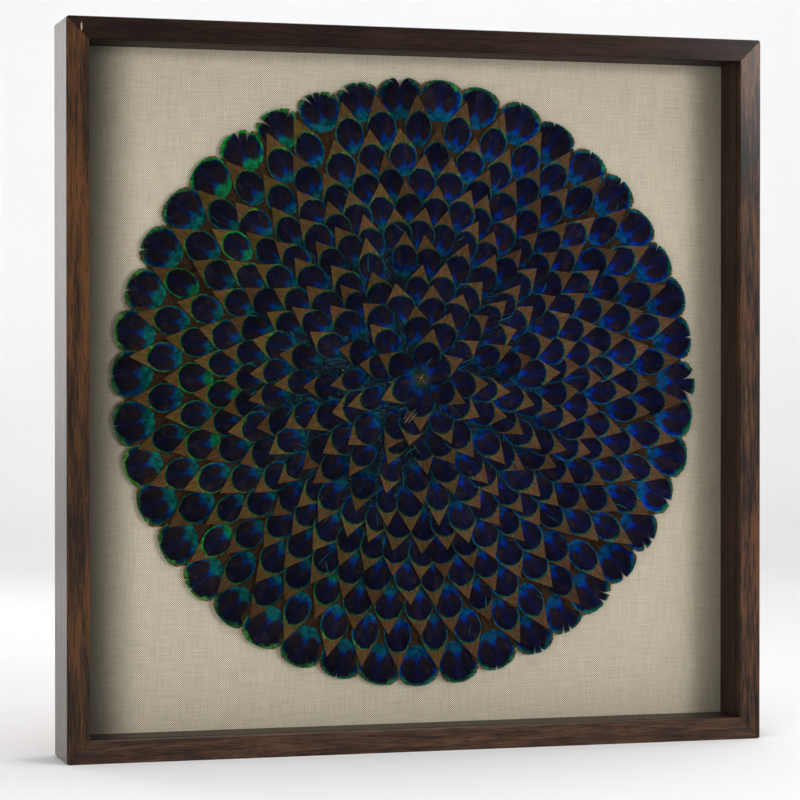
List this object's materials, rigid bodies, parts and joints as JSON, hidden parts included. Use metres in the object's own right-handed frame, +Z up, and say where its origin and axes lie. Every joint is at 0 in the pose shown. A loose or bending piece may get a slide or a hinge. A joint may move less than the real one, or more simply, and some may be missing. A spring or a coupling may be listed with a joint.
{
  "type": "framed peacock feather rosette",
  "caption": "Square wooden shadow box, glazed, with a round rosette of trimmed peacock eye feathers laid in overlapping rings on linen. Stands on its lower rail or hangs on a wall.",
  "frame": {"origin": "middle of the footprint, on the surface that the lower rail stands on", "axes": "+Z up, +X to the right seen from the front, +Y from the glass to the back"},
  "size_m": [0.61, 0.061, 0.61],
  "materials": {
    "walnut": "satin stained walnut",
    "stained_wood": "dark stain, low sheen",
    "glass": "clear picture glass",
    "linen": "plain-woven natural linen",
    "mount_board": "matte",
    "plywood": "sanded plywood",
    "steel": "zinc-plated",
    "feather": "iridescent barbs"
  },
  "bodies": {
    "root": {"rail_bottom": "walnut", "rail_right": "walnut", "rail_top": "walnut", "rail_left": "walnut", "glass_pane": "glass", "spacer_bottom": "stained_wood", "spacer_right": "stained_wood", "spacer_top": "stained_wood", "spacer_left": "stained_wood", "linen": "linen", "mount_board": "mount_board", "back_board": "plywood", "point_bottom_a": "steel", "point_bottom_b": "steel", "point_right_a": "steel", "point_right_b": "steel", "point_top_a": "steel", "point_top_b": "steel", "point_left_a": "steel", "point_left_b": "steel", "hanger_left": "steel", "hanger_right": "steel", "feather_ring_01": "feather", "feather_ring_02": "feather", "feather_ring_03": "feather", "feather_ring_04": "feather", "feather_ring_05": "feather", "feather_ring_06": "feather", "feather_ring_07": "feather", "feather_ring_08": "feather", "feather_ring_09": "feather", "feather_ring_10": "feather", "feather_ring_11": "feather"}
  },
  "joints": []
}
